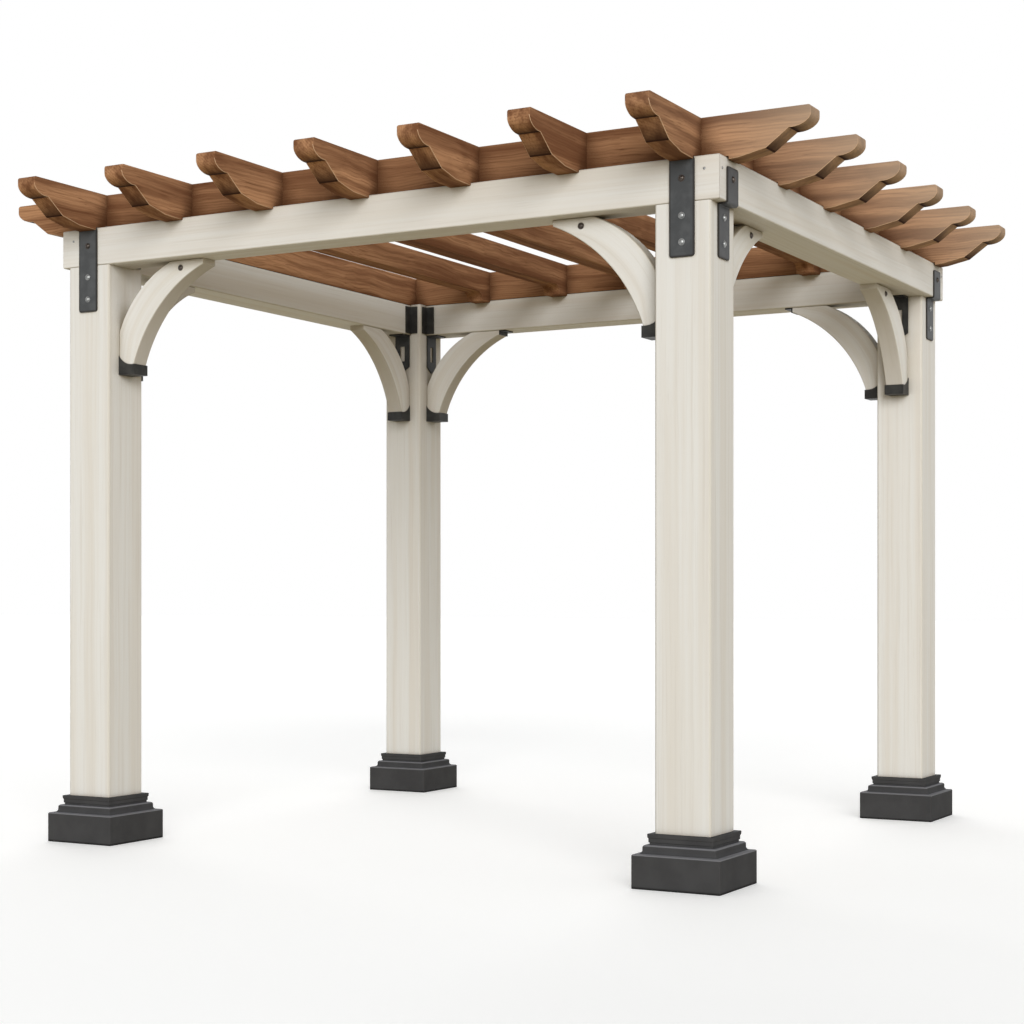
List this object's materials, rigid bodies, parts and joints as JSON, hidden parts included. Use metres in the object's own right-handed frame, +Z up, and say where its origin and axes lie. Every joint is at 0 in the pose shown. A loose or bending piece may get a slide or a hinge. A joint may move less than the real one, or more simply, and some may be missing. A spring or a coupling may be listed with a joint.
{
  "type": "pergola",
  "caption": "Open timber pergola: square posts on moulded bases carry a ring of beams with curved knee braces and a roof of rafters, purlins and side lookouts with shaped tails.",
  "frame": {"origin": "middle of the plan, on the ground", "axes": "+X along the front to the right, +Y from front to back, +Z up"},
  "size_m": [3.2, 3.03, 2.406],
  "materials": {
    "cream_timber": "whitewashed, matt, straight grain",
    "brown_timber": "brown stain, satin, straight grain",
    "base_trim": "charcoal moulded trim, satin",
    "black_steel": "dark powder coat"
  },
  "bodies": {
    "root": {"front_left_post": "cream_timber", "front_right_post": "cream_timber", "back_left_post": "cream_timber", "back_right_post": "cream_timber", "front_beam": "cream_timber", "back_beam": "cream_timber", "left_beam": "cream_timber", "right_beam": "cream_timber", "front_beam_left_brace": "cream_timber", "front_beam_right_brace": "cream_timber", "back_beam_left_brace": "cream_timber", "back_beam_right_brace": "cream_timber", "left_beam_front_brace": "cream_timber", "left_beam_back_brace": "cream_timber", "right_beam_front_brace": "cream_timber", "right_beam_back_brace": "cream_timber", "rafter_1": "brown_timber", "rafter_2": "brown_timber", "rafter_3": "brown_timber", "rafter_4": "brown_timber", "rafter_5": "brown_timber", "rafter_6": "brown_timber", "rafter_7": "brown_timber", "front_purlin": "brown_timber", "back_purlin": "brown_timber", "left_lookouts": "brown_timber", "right_lookouts": "brown_timber", "front_left_base": "base_trim", "front_right_base": "base_trim", "back_left_base": "base_trim", "back_right_base": "base_trim", "front_left_straps": "black_steel", "front_right_straps": "black_steel", "back_left_straps": "black_steel", "back_right_straps": "black_steel", "front_left_shoes": "black_steel", "front_right_shoes": "black_steel", "back_left_shoes": "black_steel", "back_right_shoes": "black_steel", "front_left_brackets": "black_steel", "front_right_brackets": "black_steel", "back_left_brackets": "black_steel", "back_right_brackets": "black_steel"}
  },
  "joints": []
}
